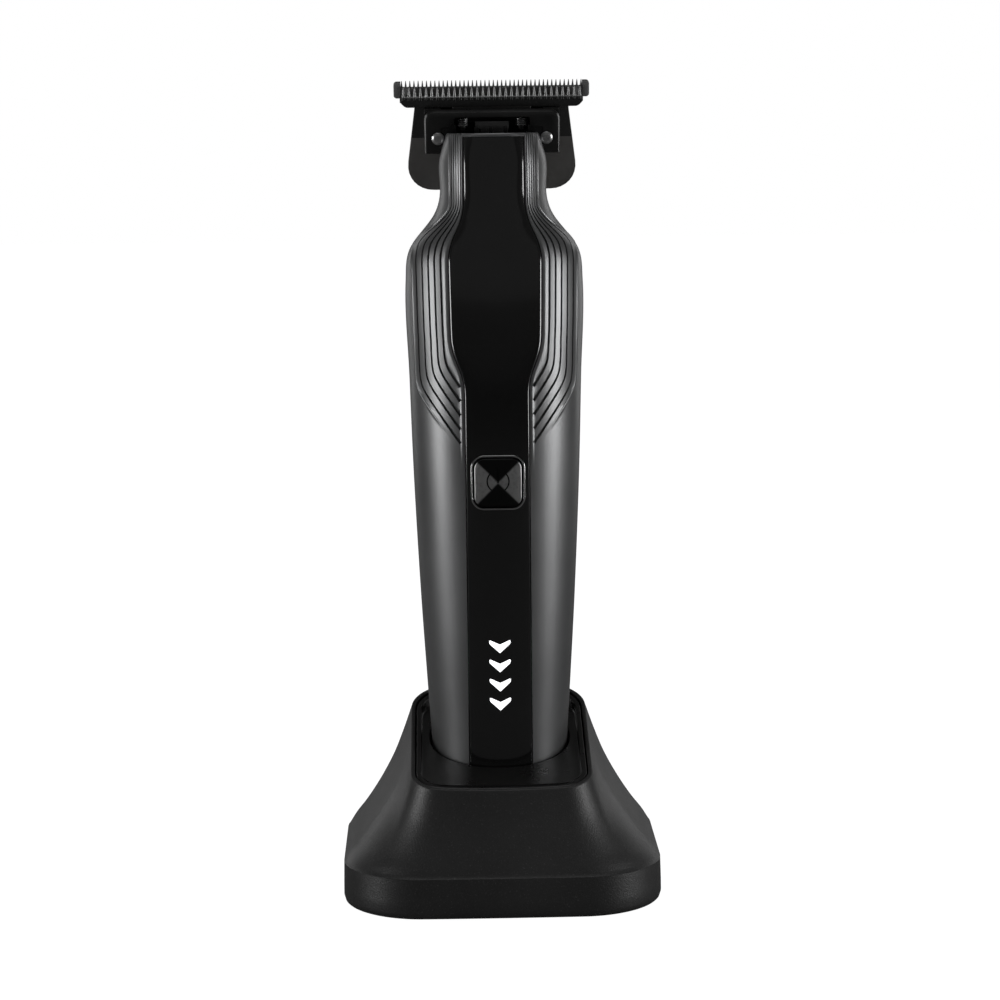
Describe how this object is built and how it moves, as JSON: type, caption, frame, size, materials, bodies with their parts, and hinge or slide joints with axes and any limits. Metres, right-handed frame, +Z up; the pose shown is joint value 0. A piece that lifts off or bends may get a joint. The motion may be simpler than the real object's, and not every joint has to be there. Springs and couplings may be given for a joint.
{
  "type": "hair clipper",
  "caption": "Cordless T-blade hair clipper standing in a flared charging dock, with a gloss front panel, side grooves, a square power button and lit chevrons.",
  "frame": {"origin": "on the table, under the middle of the dock's feet", "axes": "+Z up along the standing clipper, front towards -Y, +X to the right as the front is looked at"},
  "size_m": [0.0684, 0.064, 0.1756],
  "materials": {
    "shell_satin": "satin charcoal coat",
    "panel_gloss": "polished black",
    "bezel_chrome": "dark polished ring",
    "button_metal": "brushed dark coat",
    "light_white": "translucent white, lit",
    "circuit_board": "solder mask",
    "nylon_dark": "moulded, fine texture",
    "cell_wrap": "shrink sleeve",
    "steel_plain": "plain steel",
    "screw_steel": "blackened steel",
    "acetal_white": "acetal",
    "rubber_black": "matte",
    "contact_gold": "gold plated",
    "blade_black": "black coated ground steel",
    "bracket_plastic": "semi-gloss moulded",
    "dock_matte": "fine spark-eroded texture"
  },
  "bodies": {
    "dock": {"dock_shell": "dock_matte", "dock_liner": "bracket_plastic", "dock_base_plate": "nylon_dark", "ballast_weight": "steel_plain", "dock_board": "circuit_board", "dock_socket": "steel_plain", "pogo_barrel_left": "contact_gold", "pogo_barrel_right": "contact_gold", "dock_screw_1": "screw_steel", "dock_screw_2": "screw_steel", "dock_screw_3": "screw_steel", "dock_screw_4": "screw_steel", "dock_foot_1": "rubber_black", "dock_foot_2": "rubber_black", "dock_foot_3": "rubber_black", "dock_foot_4": "rubber_black"},
    "clipper": {"front_shell": "shell_satin", "rear_shell": "shell_satin", "front_panel": "panel_gloss", "button_bezel": "bezel_chrome", "light_guide": "light_white", "led_1": "light_white", "led_2": "light_white", "led_3": "light_white", "led_4": "light_white", "main_board": "circuit_board", "tact_switch": "nylon_dark", "battery_cell": "cell_wrap", "inner_frame": "nylon_dark", "motor_can": "steel_plain", "motor_end_cap": "nylon_dark", "motor_damper": "rubber_black", "charge_socket": "steel_plain", "contact_pad_left": "contact_gold", "contact_pad_right": "contact_gold", "tension_spring_left": "steel_plain", "tension_spring_right": "steel_plain", "head_bracket": "bracket_plastic", "fixed_blade": "blade_black", "blade_screw_left": "screw_steel", "blade_screw_right": "screw_steel", "housing_screw_1": "screw_steel", "housing_screw_2": "screw_steel", "housing_screw_3": "screw_steel", "housing_screw_4": "screw_steel"},
    "cutter": {"moving_blade": "blade_black", "cam_follower": "nylon_dark"},
    "rotor": {"motor_shaft": "steel_plain", "eccentric_cam": "acetal_white", "eccentric_bearing": "steel_plain"},
    "button": {"power_button": "button_metal"},
    "switch_stem": {"switch_plunger": "nylon_dark"},
    "pin_left": {"pogo_pin_left": "contact_gold"},
    "pin_right": {"pogo_pin_right": "contact_gold"}
  },
  "joints": [
    {"name": "clipper_lift", "type": "slide", "parent": "dock", "child": "clipper", "axis": [0, 0, 1], "range_m": [0, 0.06]},
    {"name": "cutter_slide", "type": "slide", "parent": "clipper", "child": "cutter", "axis": [1, 0, 0], "range_m": [-0.0008, 0.0008]},
    {"name": "motor_spin", "type": "hinge", "parent": "clipper", "child": "rotor", "pos_m": [0, -0.0005, 0.14], "axis": [0, 0, 1], "continuous": true},
    {"name": "button_press", "type": "slide", "parent": "clipper", "child": "button", "axis": [0, 1, 0], "range_m": [0, 0.0008], "stiffness_N_per_m": 800, "springref_m": -0.0005},
    {"name": "plunger_press", "type": "slide", "parent": "clipper", "child": "switch_stem", "axis": [0, 1, 0], "range_m": [0, 0.0008]},
    {"name": "pin_left_press", "type": "slide", "parent": "dock", "child": "pin_left", "axis": [0, 0, 1], "range_m": [-0.0015, 0], "stiffness_N_per_m": 300, "springref_m": 0.0004},
    {"name": "pin_right_press", "type": "slide", "parent": "dock", "child": "pin_right", "axis": [0, 0, 1], "range_m": [-0.0015, 0], "stiffness_N_per_m": 300, "springref_m": 0.0004}
  ],
  "couplings": [
    {"joint": "plunger_press", "follows": "button_press", "ratio": 1}
  ]
}
